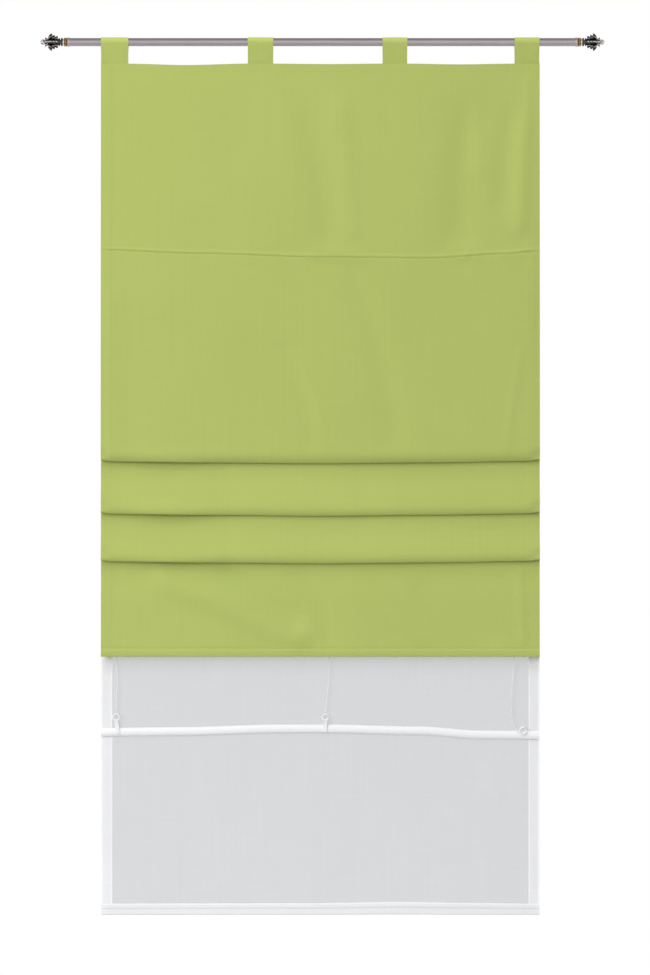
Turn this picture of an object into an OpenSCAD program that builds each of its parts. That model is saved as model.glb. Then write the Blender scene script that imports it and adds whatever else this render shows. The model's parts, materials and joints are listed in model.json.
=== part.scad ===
// Two-layer roman blind on a curtain rod with leaf finials.
// Origin on the rod's axis at its middle: +X right, +Y to the wall, +Z up. The front faces -Y.

/* [Rod] */
// Outside diameter of the rod
rod_d = 15; // [12:0.5:20]
// Wall of the rod's tube
rod_wall = 0.8; // [0.6:0.1:1.5]
// Length of the tube between the end collars
rod_l = 926; // [900:2:1200]

/* [Finials] */
// Diameter of the collar and the gold band
collar_d = 17; // [16:0.5:22]
// Length of the collar
collar_l = 4; // [3:0.5:8]
// Length of the collar's shank inside the tube
shank_l = 24; // [12:1:40]
// Length of the gold band
band_l = 6; // [4:0.5:10]
// Number of beads round the gold band
band_beads = 16; // [8:1:20]
// Diameter of the finial's stem, which holds band and collar
stem_d = 6; // [4:0.5:8]
// Length of the polished groove behind the neck ring
groove_l = 2.4; // [1.5:0.1:4]
// Diameter of the neck ring
neck_d = 15.4; // [13:0.2:17]
// Length of the neck ring
neck_l = 3.3; // [2:0.1:5]
// Length of the leaf cluster
leaf_l = 29; // [24:0.5:40]
// Radius over the tips of the leaves
leaf_r = 16.3; // [13:0.1:22]
// Thickness of a leaf at its root
leaf_t = 3.4; // [2:0.1:4]
// Thickness of a leaf at its outer edge
leaf_edge = 1.8; // [1:0.1:2.4]
// Full leaves round the finial, with a lesser one between each two
leaf_count = 4; // [3:1:5]
// Reach of a lesser leaf beside a full one
leaf_share = 0.86; // [0.7:0.02:1]
// Diameter of the ball at the tip
ball_d = 10; // [7:0.5:12]

/* [Blind] */
// Width of both cloth layers
blind_w = 800; // [600:5:840]
// How far the blind hangs to the side of the rod's middle
blind_x = -4; // [-8:1:8]
// Thickness of the front cloth
cloth_t = 1; // [0.6:0.1:1.2]
// Clearance between a tab and the rod
tab_gap = 0.3; // [0.2:0.1:0.6]
// Width of a tab
tab_w = 46; // [30:1:60]
// Centre of the inner left tab, from the blind's middle
tab_left_x = -109; // [-160:1:-60]
// Centre of the inner right tab, from the blind's middle
tab_right_x = 136; // [60:1:160]
// Drop from the rod's axis to the top edge of the cloth
header_drop = 41; // [32:1:60]
// Height of the header hem
header_h = 13; // [10:1:20]
// Width of the side hems
side_hem = 20; // [14:1:30]

/* [Front panel] */
// Drop to the seam of the upper rod pocket
seam_drop = 388; // [330:1:440]
// Drop to the lowest edge of the upper tuck
tuck_1_drop = 768; // [740:1:790]
// Drop to the lowest edge of the middle tuck
tuck_2_drop = 864; // [850:1:880]
// Drop to the lowest edge of the lower tuck
tuck_3_drop = 951; // [940:1:970]
// Height of a tuck's hidden back leg
tuck_h = 40; // [30:1:50]
// Depth of a tuck from front to back
tuck_depth = 15; // [13:0.5:18]
// Radius of the soft turn under a tuck
tuck_r = 2.5; // [2:0.1:3.5]
// How far before the rod's axis the tucks end at the back
tuck_set = 1; // [0.5:0.5:4]
// Drop to the bottom edge of the front panel
front_drop = 1125; // [1080:1:1180]
// Height of the front panel's bottom hem
front_hem = 15; // [12:1:24]

/* [Sheer panel] */
// Thickness of the sheer cloth
sheer_t = 0.8; // [0.5:0.1:1]
// How far the sheer stands back below the header, to leave room for its rings and cords
sheer_set = 11; // [10:0.5:16]
// Height over which the sheer runs back
sheer_slope = 56; // [40:1:90]
// Drop to the middle of the lowest rod pocket
pocket_drop = 1262; // [1220:1:1300]
// Height of a rod pocket
pocket_h = 15; // [12:0.5:20]
// Drop to the bottom edge of the sheer panel
sheer_drop = 1599; // [1500:1:1700]
// Height of the sheer's bottom hem
sheer_hem = 21; // [16:1:30]

/* [Rods and rings] */
// Diameter of the stiffening rods
stick_d = 4; // [3:0.5:4.5]
// Clearance round a rod or bar in its pocket
stick_gap = 0.2; // [0.1:0.1:0.4]
// Thickness of the weight bars
bar_t = 2; // [1.5:0.1:3]
// Wire of a lift ring
ring_wire = 2.3; // [1.6:0.1:2.6]
// Outside diameter of a lift ring
ring_d = 13.8; // [12:0.2:16]
// Height of a ring's centre over its pocket
ring_rise = 26; // [22:1:30]
// Drop from the header's top edge to the middle of its rings
header_ring_drop = 49; // [40:1:60]
// Width of the tape that holds a ring
tape_w = 7; // [5:0.5:7]
// Thickness of the doubled tape
tape_t = 1.2; // [0.8:0.1:1.4]
// Clearance between a ring and its tape
ring_gap = 0.35; // [0.2:0.05:0.5]
// Left ring, from the blind's middle
ring_left_x = -374; // [-376:1:-368]
// Middle ring, from the blind's middle
ring_middle_x = 9; // [5:1:13]
// Right ring, from the blind's middle
ring_right_x = 371; // [366:1:374]
// Diameter of a lift cord
cord_d = 1.4; // [1:0.1:2]
// Diameter of a knot
knot_d = 4.2; // [3.4:0.2:5]

/* [Hidden] */
$fn = 48;

green = [0.70, 0.75, 0.40];
voile = [0.90, 0.91, 0.93];
white = [0.96, 0.96, 0.96];
pewter = [0.30, 0.29, 0.29];
nickel = [0.72, 0.70, 0.72];
gold = [0.76, 0.62, 0.36];

fit = 0.05;
seam_gap = 0.3;
arc_steps = 12;

// Finial, measured outwards from the end of the tube
groove_d = neck_d - 3;
stem_l = collar_l + band_l + shank_l / 2;
bead_r = 1.2;
rim_r = 0.6;
leaf_x = collar_l + band_l + groove_l + neck_l;
core_r = stem_d / 2 + 1.5;
ball_x = leaf_x + leaf_l + ball_d / 2 - 1.2;

// Depths of the layers, from the front at the header to the sheer
header_back = 3 * cloth_t;
sheer_front = header_back + sheer_set;
sheer_back = sheer_front + sheer_t;
bore_r = stick_d / 2 + stick_gap;
pocket_wall = sheer_t;
pocket_back = 0.5;
stick_y = sheer_front - pocket_back - bore_r;
pocket_front = stick_y - bore_r - pocket_wall;
ring_y = pocket_front - tape_t / 2;
ring_r = (ring_d - ring_wire) / 2;
eye_r = ring_wire / 2 + ring_gap;
eye_wall = tape_t / 2;
tape_foot = pocket_h / 2;

// Front panel's folded section
tuck_drops = [tuck_1_drop, tuck_2_drop, tuck_3_drop];
turn_r = bore_r + cloth_t / 2;
tuck_back = -tuck_set;
tuck_front = tuck_back - tuck_depth;
turn_x = tuck_back - 2 * turn_r;
hem_r = (bar_t + 2 * stick_gap + cloth_t) / 2;
skirt_y = tuck_back - 4;
bar_sink = 0.4;
front_bar_h = front_hem - cloth_t - 3;
sheer_bar_h = sheer_hem - sheer_t - 3;

// Rod pockets of the sheer divide its drop into equal parts
pocket_step = (pocket_drop - header_drop) / 3;
pocket_z = [for (i = [0:2]) -pocket_drop + i * pocket_step];
ring_x = [ring_left_x, ring_middle_x, ring_right_x];
stick_l = blind_w - 16;

// Header rings hang from the header's hem
header_ring_y = cloth_t + tape_t / 2;
header_ring_z = -header_drop - header_ring_drop;

// The right ring of the lowest pocket has dropped over its slack cord and hangs before the pocket
dropped_eye_z = pocket_h / 2 - 1;
dropped_ring_y = ring_y - 1.6;
dropped_ring_z = dropped_eye_z - ring_r;
dropped_knot_angle = 190;

// How far below a ring its cord passes the tape, and where it hangs back to the sheer
cord_past_tape = 34;
cord_hang = [78, 198, 318];

// How each cord hangs over its lowest knot: side, depth and height from its end
slack_left = [[0, 0, 318], [-1, 0, 208], [0, 0, 102], [2, 0, 66], [0.5, 0, 26]];
slack_middle = [[2, 0, 318], [6, 0, 208], [7.8, 0, 102], [6, 0, 60], [2.5, 0, 22]];
slack_right = [
    [-0.8, 1.5, 306], [-8.3, 1.5, 130], [-12.6, 1.5, 68], [-13.3, 1.3, 34], [-9.8, 0.8, 13], [-3.6, 0.2, 0.9]
];

// Points of an arc round c, from angle a to angle b
function arc(c, r, a, b, n = arc_steps) =
    [for (i = [0:n]) c + r * [cos(a + (b - a) * i / n), sin(a + (b - a) * i / n)]];

function unit(v) = v / norm(v);
function left_of(v) = [-v[1], v[0]];

// Normal at point i of an open path, lengthened so that offset sides stay parallel
function path_normal(p, i) =
    let (
        n = len(p) - 1,
        before = left_of(unit(p[max(i, 1)] - p[max(i, 1) - 1])),
        after = left_of(unit(p[min(i, n - 1) + 1] - p[min(i, n - 1)]))
    )
    (before + after) / (1 + before * after);

function path_offset(p, d) = [for (i = [0:len(p) - 1]) p[i] + d * path_normal(p, i)];

function reversed(p) = [for (i = [len(p) - 1:-1:0]) p[i]];

// Outline of a cloth that follows a path in the YZ plane
function ribbon(p, left, right) = concat(path_offset(p, left), reversed(path_offset(p, -right)));

// Centre line of one tuck: under its front edge, up its back leg and over its rod
function tuck_path(drop) =
    let (
        edge = -drop + cloth_t / 2 + tuck_r,
        top = -drop + tuck_h - cloth_t / 2 - turn_r
    )
    concat(
        arc([tuck_front + cloth_t / 2 + tuck_r, edge], tuck_r, 180, 360),
        arc([turn_x + turn_r, top], turn_r, 180, 0)
    );

function tuck_stick(i) = [turn_x + turn_r, -tuck_drops[i] + tuck_h - cloth_t / 2 - turn_r];

// Height and depth of the straight front cloth over the upper tuck
function front_y(z) =
    let (top = -header_drop - header_h, bottom = -tuck_1_drop + cloth_t / 2 + tuck_r)
    -cloth_t / 2 + (tuck_front + cloth_t) * (z - top) / (bottom - top);

front_bottom = -front_drop + cloth_t / 2 + hem_r;
front_path = concat(
    [[-cloth_t / 2, -header_drop], [-cloth_t / 2, -header_drop - header_h]],
    tuck_path(tuck_1_drop),
    tuck_path(tuck_2_drop),
    tuck_path(tuck_3_drop),
    arc([skirt_y + hem_r, front_bottom], hem_r, 180, 360),
    [[skirt_y + 2 * hem_r, -front_drop + front_hem]]
);
seam_stick = [front_y(-seam_drop) + cloth_t / 2 + bore_r + 0.3, -seam_drop];
front_sticks = concat([seam_stick], [for (i = [0:2]) tuck_stick(i)]);

// Outline round a circle that runs down to two points, as a tab lies over the rod
function tab_outline(r, front, back, low) =
    let (
        f = [front, -low],
        b = [back, -low],
        a = atan2(b[1], b[0]) + acos(r / norm(b)),
        e = atan2(f[1], f[0]) - acos(r / norm(f)) + 360
    )
    concat([b], arc([0, 0], r, a, e, 2 * arc_steps), [f]);

// A YZ section swept along X over a length, centred on x
module along_x(length, x = 0)
    translate([x - length / 2, 0, 0]) rotate([90, 0, 90]) linear_extrude(length) children();

module round_stick(y, z, d, length, x = 0)
    translate([x - length / 2, y, z]) rotate([0, 90, 0]) cylinder(h = length, d = d);

// Finial pieces lie along +X from the tube's end and are turned round for the left side
module at_end(side) rotate([0, 0, side < 0 ? 180 : 0]) translate([rod_l / 2, 0, 0]) children();

module turned() rotate([0, 90, 0]) rotate_extrude() children();

module curtain_rod() color(nickel) difference() {
    round_stick(0, 0, rod_d, rod_l);
    round_stick(0, 0, rod_d - 2 * rod_wall, rod_l + 2);
}

module end_collar(side) color(nickel) at_end(side) difference() {
    union() {
        turned() polygon([[0, 0], [collar_d / 2, 0], [collar_d / 2, collar_l - 0.8],
            [collar_d / 2 - 0.8, collar_l], [0, collar_l]]);
        translate([-shank_l, 0, 0]) rotate([0, 90, 0])
            cylinder(h = shank_l + 0.1, d = rod_d - 2 * rod_wall - 2 * fit);
    }
    translate([collar_l - stem_l, 0, 0]) rotate([0, 90, 0]) cylinder(h = stem_l + 1, d = stem_d + 2 * fit);
}

module gold_band(side) color(gold) at_end(side) translate([collar_l, 0, 0]) difference() {
    union() {
        rotate([0, 90, 0]) cylinder(h = band_l, d = collar_d - 2 * bead_r);
        for (x = [rim_r + 0.1, band_l - rim_r - 0.1])
            translate([x, 0, 0]) turned() translate([collar_d / 2 - bead_r, 0]) circle(rim_r);
        for (i = [0:band_beads - 1])
            rotate([360 * (i + 0.5) / band_beads, 0, 0])
                translate([band_l / 2, 0, collar_d / 2 - bead_r]) sphere(bead_r);
    }
    translate([-1, 0, 0]) rotate([0, 90, 0]) cylinder(h = band_l + 2, d = stem_d + 2 * fit);
}

// Lobes of a leaf, as shares of its length and reach: each tip, the swell of its outer side and the notch after it.
// The last lobe leans the other way, from its notch to its tip.
leaf_lobes = [
    [[0.08, 0.50], [0.15, 0.36], [0.18, 0.38]],
    [[0.21, 0.70], [0.30, 0.65], [0.37, 0.57]],
    [[0.41, 0.81], [0.48, 0.78], [0.55, 0.70]],
    [[0.57, 1.00], [0.68, 0.91], [0.78, 0.70]],
    [[0.83, 0.36], [0.92, 0.45], [1.01, 0.56]]
];
leaf_root = [0.02, 0.12];
leaf_end = [[0.98, 0.28], [0.88, 0.14]];

// One leaf's serrated outline, along the finial and out from its axis
function leaf_outline(share) =
    [for (p = concat([leaf_root], [for (lobe = leaf_lobes) for (q = lobe) q], leaf_end))
        [p[0] * leaf_l, p[1] * share * leaf_r]];

// A leaf in the XZ plane that thins from its root to its edge
module leaf(share) intersection() {
    rotate([90, 0, 0]) linear_extrude(leaf_t, center = true) polygon(leaf_outline(share));
    along_x(leaf_l + 2, leaf_l / 2)
        polygon([[-leaf_t / 2, 0], [leaf_t / 2, 0], [leaf_edge / 2, leaf_r], [-leaf_edge / 2, leaf_r]]);
}

module finial(side) color(pewter) at_end(side) {
    turned() polygon(concat(
        [[0, collar_l - stem_l + 1], [stem_d / 2, collar_l - stem_l + 1], [stem_d / 2, collar_l + band_l],
            [groove_d / 2, collar_l + band_l], [groove_d / 2, collar_l + band_l + groove_l],
            [neck_d / 2 - 0.5, collar_l + band_l + groove_l], [neck_d / 2, leaf_x - neck_l / 2],
            [neck_d / 2 - 0.5, leaf_x]],
        [for (i = [0:arc_steps]) let (s = i / arc_steps)
            [core_r + 1.6 * sin(180 * s) - 1.2 * s, leaf_x + s * leaf_l]],
        [[0, leaf_x + leaf_l]]
    ));
    translate([ball_x, 0, 0]) sphere(d = ball_d);
    for (i = [0:2 * leaf_count - 1])
        rotate([180 * i / leaf_count, 0, 0]) translate([leaf_x, 0, 0]) leaf(i % 2 == 0 ? 1 : leaf_share);
}

module tab_loop(x) color(green) along_x(tab_w, blind_x + x) difference() {
    union() {
        polygon(tab_outline(rod_d / 2 + tab_gap + cloth_t, cloth_t, 3 * cloth_t, header_drop));
        translate([cloth_t, -header_drop - header_h]) square([2 * cloth_t, header_h]);
    }
    polygon(tab_outline(rod_d / 2 + tab_gap, 2 * cloth_t - 0.1, 2 * cloth_t + 0.1, header_drop - 1));
}

// Stitching that closes a pocket: a small bridge between two layers of cloth
module stitches(from, to, z) translate([from, z]) square([to - from, 1.2]);

module front_section(back_layer) difference() {
    union() {
        polygon(ribbon(front_path, cloth_t / 2 + back_layer, cloth_t / 2));
        translate([-0.1, -header_drop - header_h]) square([cloth_t + 0.1, header_h]);
        translate(seam_stick) circle(bore_r + cloth_t);
        stitches(skirt_y, skirt_y + 2 * hem_r, -front_drop + front_hem - 1.2);
        for (i = [0:2])
            translate(tuck_stick(i)) stitches(-turn_r, turn_r, -bore_r - 1.6);
    }
    for (s = front_sticks) translate(s) circle(bore_r);
}

module front_panel() color(green) {
    along_x(blind_w, blind_x) front_section(0);
    for (side = [-1, 1]) {
        along_x(side_hem, blind_x + side * (blind_w - side_hem) / 2) front_section(0.4);
        for (i = [0:2])
            translate([blind_x + side * (blind_w / 2 - 5), tuck_front + cloth_t / 2, -tuck_drops[i] + tuck_h / 2])
                rotate([-90, 0, 0]) cylinder(h = turn_x - tuck_front - 1, d = 1.6);
    }
}

module front_rod(i) color(white) round_stick(front_sticks[i][0], front_sticks[i][1], stick_d, stick_l, blind_x);

// A flat weight bar with round ends, standing in a hem
module weight_bar(y, z, h, length) color(white)
    translate([blind_x, y + bar_t / 2, z]) rotate([90, 0, 0]) linear_extrude(bar_t) union() {
        translate([-length / 2 + h / 2, 0]) square([length - h, h]);
        for (side = [-1, 1]) translate([side * (length - h) / 2, h / 2]) circle(d = h);
    }

module front_bottom_bar()
    weight_bar(skirt_y + hem_r, front_bottom - bar_sink, front_bar_h, blind_w - 2 * side_hem - 2);

// One length of sheer cloth with its side hems
module sheer_length(top, bottom) color(voile) {
    translate([blind_x - blind_w / 2, sheer_front, bottom]) cube([blind_w, sheer_t, top - bottom]);
    for (side = [-1, 1])
        translate([blind_x + side * (blind_w - side_hem) / 2 - side_hem / 2, sheer_back - 0.1, bottom])
            cube([side_hem, sheer_t + 0.1, top - bottom]);
}

function above(i) = pocket_z[i] + pocket_h / 2 + seam_gap;
function below(i) = pocket_z[i] - pocket_h / 2 - seam_gap;

// The upper length is sewn behind the tabs and runs back before it hangs straight
header_sheer_path = [
    [header_back + sheer_t / 2, -header_drop - 1],
    [header_back + sheer_t / 2, -header_drop - header_h],
    [sheer_front + sheer_t / 2, -header_drop - header_h - sheer_slope],
    [sheer_front + sheer_t / 2, above(2)]
];

module sheer_upper() color(voile) {
    along_x(blind_w, blind_x) polygon(ribbon(header_sheer_path, sheer_t / 2, sheer_t / 2));
    for (side = [-1, 1])
        along_x(side_hem, blind_x + side * (blind_w - side_hem) / 2)
            polygon(ribbon(header_sheer_path, sheer_t * 3 / 2, 0));
}

module sheer_middle() sheer_length(below(2), above(1));
module sheer_lower() sheer_length(below(1), above(0));

sheer_hem_r = (bar_t + 2 * stick_gap + sheer_t) / 2;
sheer_bottom = -sheer_drop + sheer_t / 2 + sheer_hem_r;
sheer_hem_path = concat(
    [[sheer_front + sheer_t / 2, -sheer_drop + sheer_hem + 2]],
    arc([sheer_front + sheer_t / 2 + sheer_hem_r, sheer_bottom], sheer_hem_r, 180, 360),
    [[sheer_front + sheer_t / 2 + 2 * sheer_hem_r, -sheer_drop + sheer_hem]]
);

module sheer_skirt() color(voile) {
    sheer_length(pocket_z[0] - pocket_h / 2, -sheer_drop + sheer_hem);
    along_x(blind_w, blind_x) {
        polygon(ribbon(sheer_hem_path, sheer_t / 2, sheer_t / 2));
        stitches(sheer_front, sheer_front + 2 * sheer_hem_r, -sheer_drop + sheer_hem - 1.2);
    }
}

module sheer_bottom_bar()
    weight_bar(sheer_front + sheer_t / 2 + sheer_hem_r, sheer_bottom - bar_sink, sheer_bar_h, stick_l);

// A sewn band before the cloth, with the bore for its rod
module sheer_pocket(i) color(voile) along_x(blind_w, blind_x) translate([0, pocket_z[i]]) difference() {
    union() {
        translate([sheer_front - pocket_back, -pocket_h / 2]) square([pocket_back + sheer_t, pocket_h]);
        translate([stick_y, 0]) circle(bore_r + pocket_wall);
        polygon([[sheer_front, -pocket_h / 2], [sheer_front, pocket_h / 2],
            [sheer_front - pocket_back, pocket_h / 2], [pocket_front + 0.8, bore_r], [pocket_front + 0.8, -bore_r],
            [sheer_front - pocket_back, -pocket_h / 2]]);
    }
    translate([stick_y, 0]) circle(bore_r);
}

module sheer_rod(i) color(white) round_stick(stick_y, pocket_z[i], stick_d, stick_l, blind_x);

// Slot of a tape's eye: taller than the wire, because the ring curves up on both sides
module eye_slot(r, rise) {
    circle(r);
    translate([0, rise]) circle(r);
    translate([-r, 0]) square([2 * r, rise]);
}

ring_hole_r = ring_r - ring_wire / 2;
eye_rise = ring_hole_r - sqrt(ring_hole_r * ring_hole_r - tape_w * tape_w / 4);

// A doubled tape from its foot up to the eye that holds a ring over it
module standing_tape(x, y, foot, ring_z) along_x(tape_w, blind_x + x) difference() {
    union() {
        translate([y - tape_t / 2, foot]) square([tape_t, ring_z - ring_r - foot]);
        translate([y, ring_z - ring_r]) eye_slot(eye_r + eye_wall, eye_rise);
    }
    translate([y, ring_z - ring_r]) eye_slot(eye_r, eye_rise);
}

// A tape that holds a ring under its eye
module hanging_tape(x, y, head, ring_z) along_x(tape_w, blind_x + x) difference() {
    union() {
        translate([cloth_t, ring_z + ring_r]) square([tape_t, head - ring_z - ring_r]);
        translate([y, ring_z + ring_r - eye_rise]) eye_slot(eye_r + eye_wall, eye_rise);
    }
    translate([y, ring_z + ring_r - eye_rise]) eye_slot(eye_r, eye_rise);
}

// The dropped tape leaves the cloth over the pocket and runs forward to its eye
module dropped_tape(x, z) along_x(tape_w, blind_x + x) translate([0, z]) difference() {
    union() {
        translate([dropped_ring_y, pocket_h / 2 + 0.1])
            square([sheer_front - dropped_ring_y, tape_t]);
        translate([dropped_ring_y, dropped_eye_z - eye_rise]) eye_slot(eye_r + eye_wall, eye_rise);
    }
    translate([dropped_ring_y, dropped_eye_z - eye_rise]) eye_slot(eye_r, eye_rise);
}

module ring_tapes(i) color(white) for (k = [0:2]) {
    if (i == 0 && k == 2) dropped_tape(ring_x[k], pocket_z[i]);
    else standing_tape(ring_x[k], ring_y, pocket_z[i] - tape_foot, pocket_z[i] + ring_rise);
}

// The outer header tapes hang from the tails of the tabs, the middle one from the header's hem
header_tape_top = [-header_drop - header_h, -header_drop - 2, -header_drop - header_h];

module header_tapes() color(white) for (k = [0:2])
    hanging_tape(ring_x[k], header_ring_y, header_tape_top[k], header_ring_z);

module bare_ring(gap = 0) rotate([90, 0, 0]) rotate_extrude()
    translate([ring_r, 0]) circle(d = ring_wire + 2 * gap);

module ring(x, y, z) translate([blind_x + x, y, z]) bare_ring();

module rings(i) color(white) for (k = [0:2]) {
    if (i == 0 && k == 2) ring(ring_x[k], dropped_ring_y, pocket_z[i] + dropped_ring_z);
    else ring(ring_x[k], ring_y, pocket_z[i] + ring_rise);
}

module header_rings() color(white) for (x = ring_x) ring(x, header_ring_y, header_ring_z);

// Place of a knot on a ring's wire, at an angle from +X seen from the front
function knot_at(x, y, z, angle) = [blind_x + x + ring_r * cos(angle), y, z + ring_r * sin(angle)];

module knot(x, y, z, angle) color(white) translate([blind_x + x, y, z]) rotate([0, -90 - angle, 0]) difference() {
    translate([0, 0, -ring_r]) rotate([30, 40, 0]) sphere(d = knot_d);
    bare_ring(fit);
}

module cord_knots() {
    for (k = [0:1]) knot(ring_x[k], ring_y, pocket_z[0] + ring_rise, 90);
    knot(ring_x[2], dropped_ring_y, pocket_z[0] + dropped_ring_z, dropped_knot_angle);
}

module header_knots() for (x = ring_x) knot(x, header_ring_y, header_ring_z, -90);

// A cord's way down from its header knot
function from_header(k) =
    let (p = knot_at(ring_x[k], header_ring_y, header_ring_z, -90) - [0, 0, knot_d / 2 + fit])
    [p, p + [0, 0.4, -8], p + [0, 2.4, -42],
        [p[0] + 1, ring_y + 0.3, p[2] - 122], [p[0] + 1, ring_y + 2.3, p[2] - 222]];

// A cord's way through ring k of pocket i, from behind it to before its tape
function through_ring(k, i) =
    let (x = blind_x + ring_x[k], z = pocket_z[i] + ring_rise)
    [[x, ring_y + 2.5, z + 14], [x, ring_y + 2.4, z + 7], [x, ring_y + 0.8, z + 2.6],
        [x, ring_y - 2.2, z - 0.6], [x, ring_y - 3.1, z - 4], [x, ring_y - 3.1, z - 10],
        [x, ring_y - 2.6, z - cord_past_tape / 2], [x, ring_y - 2.1, z - cord_past_tape]];

// A cord's way back to the sheer between two pockets
function between_rings(k, i) =
    let (x = blind_x + ring_x[k], z = pocket_z[i] + ring_rise)
    [[x, ring_y + 0.3, z - cord_hang[0]], [x + 1, ring_y + 1.9, z - cord_hang[1]],
        [x + 1, ring_y + 2.3, z - cord_hang[2]]];

// Whole route of a cord that meets its last knot from the direction of its slack
function cord_route(k, last_knot, slack) =
    let (end = last_knot + (knot_d / 2 + fit) * unit(slack[len(slack) - 1]))
    concat(from_header(k), through_ring(k, 2), between_rings(k, 2), through_ring(k, 1),
        [for (s = slack) end + s], [end]);

lowest_ring_z = pocket_z[0] + ring_rise;
last_knot_left = knot_at(ring_x[0], ring_y, lowest_ring_z, 90);
last_knot_middle = knot_at(ring_x[1], ring_y, lowest_ring_z, 90);
last_knot_right = knot_at(ring_x[2], dropped_ring_y, pocket_z[0] + dropped_ring_z, dropped_knot_angle);

// Tube along a route, with a ring of points at each point of it
module cord(route, sides = 8) color(white) {
    n = len(route);
    way = [for (i = [0:n - 1]) unit(route[min(i + 1, n - 1)] - route[max(i - 1, 0)])];
    points = [for (i = [0:n - 1]) let (a = unit(cross([0, 1, 0], way[i])), b = cross(way[i], a))
        for (k = [0:sides - 1]) route[i] + cord_d / 2 * (a * cos(360 * k / sides) + b * sin(360 * k / sides))];
    walls = [for (i = [0:n - 2]) for (k = [0:sides - 1]) let (m = (k + 1) % sides)
        [i * sides + k, i * sides + m, (i + 1) * sides + m, (i + 1) * sides + k]];
    ends = [[for (k = [sides - 1:-1:0]) k], [for (k = [0:sides - 1]) (n - 1) * sides + k]];
    polyhedron(points, concat([for (w = walls) reversed(w)], [for (e = ends) reversed(e)]), convexity = 6);
}

module lift_cord_left() cord(cord_route(0, last_knot_left, slack_left));
module lift_cord_middle() cord(cord_route(1, last_knot_middle, slack_middle));
module lift_cord_right() cord(cord_route(2, last_knot_right, slack_right));

tab_x = [-(blind_w - tab_w) / 2, tab_left_x, tab_right_x, (blind_w - tab_w) / 2];

curtain_rod();
end_collar(-1);  // end_collar_left
end_collar(1);  // end_collar_right
gold_band(-1);  // gold_band_left
gold_band(1);  // gold_band_right
finial(-1);  // finial_left
finial(1);  // finial_right
tab_loop(tab_x[0]);  // tab_loop_1
tab_loop(tab_x[1]);  // tab_loop_2
tab_loop(tab_x[2]);  // tab_loop_3
tab_loop(tab_x[3]);  // tab_loop_4
front_panel();
front_rod(0);  // front_rod_1
front_rod(1);  // front_rod_2
front_rod(2);  // front_rod_3
front_rod(3);  // front_rod_4
front_bottom_bar();
sheer_upper();
sheer_middle();
sheer_lower();
sheer_skirt();
sheer_pocket(0);  // sheer_pocket_1
sheer_pocket(1);  // sheer_pocket_2
sheer_pocket(2);  // sheer_pocket_3
sheer_rod(0);  // sheer_rod_1
sheer_rod(1);  // sheer_rod_2
sheer_rod(2);  // sheer_rod_3
sheer_bottom_bar();
ring_tapes(0);  // ring_tapes_1
ring_tapes(1);  // ring_tapes_2
ring_tapes(2);  // ring_tapes_3
header_tapes();
rings(0);  // rings_1
rings(1);  // rings_2
rings(2);  // rings_3
header_rings();
cord_knots();
header_knots();
lift_cord_left();
lift_cord_middle();
lift_cord_right();
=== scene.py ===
"""Two-layer roman blind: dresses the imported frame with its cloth, cords, stitching and materials."""
import json
import math

import bpy
from mathutils import Euler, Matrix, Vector, noise


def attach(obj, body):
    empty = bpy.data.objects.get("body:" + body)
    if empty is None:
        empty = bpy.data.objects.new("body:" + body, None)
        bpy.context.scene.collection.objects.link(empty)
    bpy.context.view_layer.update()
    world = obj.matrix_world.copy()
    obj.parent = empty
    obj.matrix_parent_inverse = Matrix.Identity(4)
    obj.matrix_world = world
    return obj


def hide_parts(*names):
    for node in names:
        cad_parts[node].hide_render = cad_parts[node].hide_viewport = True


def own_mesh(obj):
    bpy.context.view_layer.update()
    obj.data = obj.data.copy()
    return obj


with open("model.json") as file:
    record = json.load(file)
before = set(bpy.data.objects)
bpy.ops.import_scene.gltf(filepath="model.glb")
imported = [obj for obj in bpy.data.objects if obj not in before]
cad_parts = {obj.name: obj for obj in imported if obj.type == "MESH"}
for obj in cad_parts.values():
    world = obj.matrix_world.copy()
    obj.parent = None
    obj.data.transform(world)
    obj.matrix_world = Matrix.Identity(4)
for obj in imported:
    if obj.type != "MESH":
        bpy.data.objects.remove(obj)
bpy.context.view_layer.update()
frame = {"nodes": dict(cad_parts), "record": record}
MM = 0.001

# Sizes shared with the CAD model, in millimetres
BLIND_X = -4.0
BLIND_W = 800.0
HALF_W = BLIND_W / 2
ROD_D = 15.0
CLOTH_T = 1.0
TAB_W = 46.0
TAB_GAP = 0.3
TAB_X = (-377.0, -109.0, 136.0, 377.0)
HEADER_DROP = 41.0
HEADER_H = 13.0
SIDE_HEM = 20.0
SEAM_DROP = 388.0
TUCK_DROPS = (768.0, 864.0, 951.0)
TUCK_H = 40.0
TUCK_R = 2.5
TUCK_BACK = -1.0
TUCK_FRONT = -16.0
TURN_R = 2.7
FRONT_DROP = 1125.0
FRONT_HEM = 15.0
HEM_R = 1.7
SKIRT_Y = TUCK_BACK - 4
HEADER_BACK = 3.0
SHEER_FRONT = 14.0
SHEER_SLOPE = 56.0
SHEER_T = 0.8
POCKET_H = 15.0
POCKET_Z = (-1262.0, -855.0, -448.0)
SEAM_GAP = 0.3
SHEER_DROP = 1599.0
SHEER_HEM = 21.0
STICK_D = 4.0
STICK_GAP = 0.2
STICK_Y = 11.3
RING_X = (-374.0, 9.0, 371.0)
RING_Y = 7.7
RING_R = 5.75
RING_RISE = 26.0
EYE_R = 1.75
TAPE_W = 7.0
HEADER_RING_Y = 1.6
HEADER_RING_Z = -90.0
DROPPED_RING_Y = RING_Y - 1.6
DROPPED_RING_Z = 0.75
DROPPED_ANGLE = 190.0
CORD_D = 1.4
KNOT_D = 4.2
CORD_FIT = 0.05

# The cloth is drawn a little wider than the CAD model, and each tab by its own amount, as in the picture
EASE = 1.004
TAB_EASE = (4.2, 0.8, -0.6, -0.4)

UP = Vector((0, 0, 1))
TO_FRONT = Vector((0, -1, 0))
TO_RIGHT = Vector((1, 0, 0))

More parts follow.
